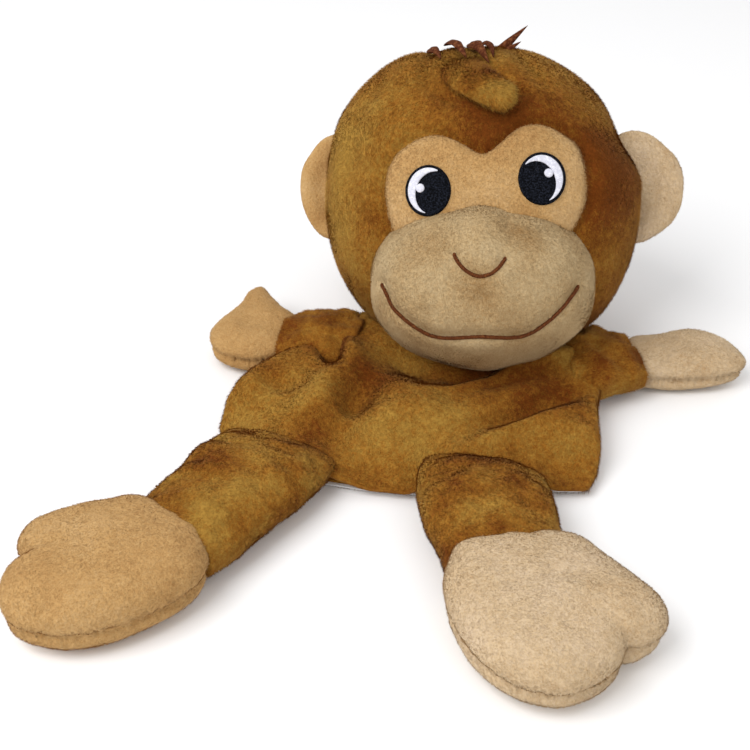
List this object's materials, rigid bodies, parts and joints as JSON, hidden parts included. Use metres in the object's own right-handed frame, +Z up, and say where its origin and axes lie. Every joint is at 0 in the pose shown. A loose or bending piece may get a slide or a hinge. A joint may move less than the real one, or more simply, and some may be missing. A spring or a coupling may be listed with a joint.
{
  "type": "plush monkey hand puppet",
  "caption": "Plush monkey hand puppet lying on its back: stuffed head with embroidered face, open lined body, limp arms with mitten hands, legs with soft feet.",
  "frame": {"origin": "on the table, under the middle of the body's back panel", "axes": "+Z up from the table, +Y from the hem towards the head, +X towards the viewer's right; the puppet lies on its back with its feet towards -Y"},
  "size_m": [0.2623, 0.3296, 0.1483],
  "materials": {
    "brown_plush": "short soft pile, satin sheen",
    "tan_plush": "short soft pile",
    "cream_plush": "short soft pile, brushed flat",
    "felt": "matt felt",
    "black_thread": "satin embroidery thread",
    "white_thread": "satin embroidery thread",
    "brown_thread": "satin embroidery thread",
    "lining_cloth": "thin matt woven cloth",
    "stuffing": "loose polyester fibre"
  },
  "bodies": {
    "torso": {"body_front": "brown_plush", "body_back": "brown_plush", "lining_front": "lining_cloth", "lining_back": "lining_cloth"},
    "neck": {"finger_tube": "lining_cloth"},
    "head": {"head_back": "brown_plush", "head_crown": "brown_plush", "face_mask": "tan_plush", "muzzle": "cream_plush", "muzzle_stuffing": "stuffing", "head_stuffing": "stuffing", "eye_left": "black_thread", "eye_right": "black_thread", "nose_stitching": "brown_thread", "mouth_stitching": "brown_thread", "forelock": "brown_plush", "felt_fringe": "felt"},
    "ear_left": {"ear_left": "tan_plush"},
    "ear_right": {"ear_right": "tan_plush"},
    "arm_left": {"arm_left": "brown_plush"},
    "arm_right": {"arm_right": "brown_plush"},
    "hand_left": {"hand_left": "tan_plush"},
    "hand_right": {"hand_right": "tan_plush"},
    "leg_left": {"leg_left": "brown_plush", "leg_left_stuffing": "stuffing"},
    "leg_right": {"leg_right": "brown_plush", "leg_right_stuffing": "stuffing"},
    "foot_left": {"foot_left": "tan_plush", "foot_left_stuffing": "stuffing"},
    "foot_right": {"foot_right": "tan_plush", "foot_right_stuffing": "stuffing"}
  },
  "joints": [
    {"name": "neck_nod", "type": "hinge", "parent": "torso", "child": "neck", "pos_m": [0.01516, 0.05043, 0.01417], "axis": [0.9864, 0.1641, 0], "range_deg": [-45, 8]},
    {"name": "neck_turn", "type": "hinge", "parent": "neck", "child": "head", "pos_m": [0.01516, 0.05043, 0.01417], "axis": [-0.1348, 0.5231, 0.8415], "range_deg": [-22, 22]},
    {"name": "ear_left_flop", "type": "hinge", "parent": "head", "child": "ear_left", "pos_m": [-0.06979, 0.07954, 0.06922], "axis": [-0.1348, 0.5231, 0.8415], "range_deg": [-25, 15]},
    {"name": "ear_right_flop", "type": "hinge", "parent": "head", "child": "ear_right", "pos_m": [0.07958, 0.10438, 0.0777], "axis": [-0.1348, 0.5231, 0.8415], "range_deg": [-15, 25]},
    {"name": "shoulder_left", "type": "hinge", "parent": "torso", "child": "arm_left", "pos_m": [-0.051, 0.033, 0.0103], "axis": [-0.0698, 0.9976, 0], "range_deg": [-20, 30]},
    {"name": "wrist_left", "type": "hinge", "parent": "arm_left", "child": "hand_left", "pos_m": [-0.07993, 0.03098, 0.0103], "axis": [-0.1736, 0.9848, 0], "range_deg": [-35, 35]},
    {"name": "hip_left", "type": "hinge", "parent": "torso", "child": "leg_left", "pos_m": [-0.055, -0.067, 0.0153], "axis": [-0.9925, 0.1219, 0], "range_deg": [-60, 90]},
    {"name": "ankle_left", "type": "hinge", "parent": "leg_left", "child": "foot_left", "pos_m": [-0.0723, -0.12026, 0.0153], "axis": [-0.866, 0.5, 0], "range_deg": [-30, 30]},
    {"name": "shoulder_right", "type": "hinge", "parent": "torso", "child": "arm_right", "pos_m": [0.065, 0.04, 0.0103], "axis": [0.454, -0.891, 0], "range_deg": [-20, 30]},
    {"name": "wrist_right", "type": "hinge", "parent": "arm_right", "child": "hand_right", "pos_m": [0.08681, 0.05416, 0.0103], "axis": [0.2756, -0.9613, 0], "range_deg": [-35, 35]},
    {"name": "hip_right", "type": "hinge", "parent": "torso", "child": "leg_right", "pos_m": [0.034, -0.066, 0.0153], "axis": [-0.9703, -0.2419, 0], "range_deg": [-60, 90]},
    {"name": "ankle_right", "type": "hinge", "parent": "leg_right", "child": "foot_right", "pos_m": [0.05231, -0.10043, 0.0153], "axis": [-0.866, -0.5, 0], "range_deg": [-30, 30]}
  ]
}
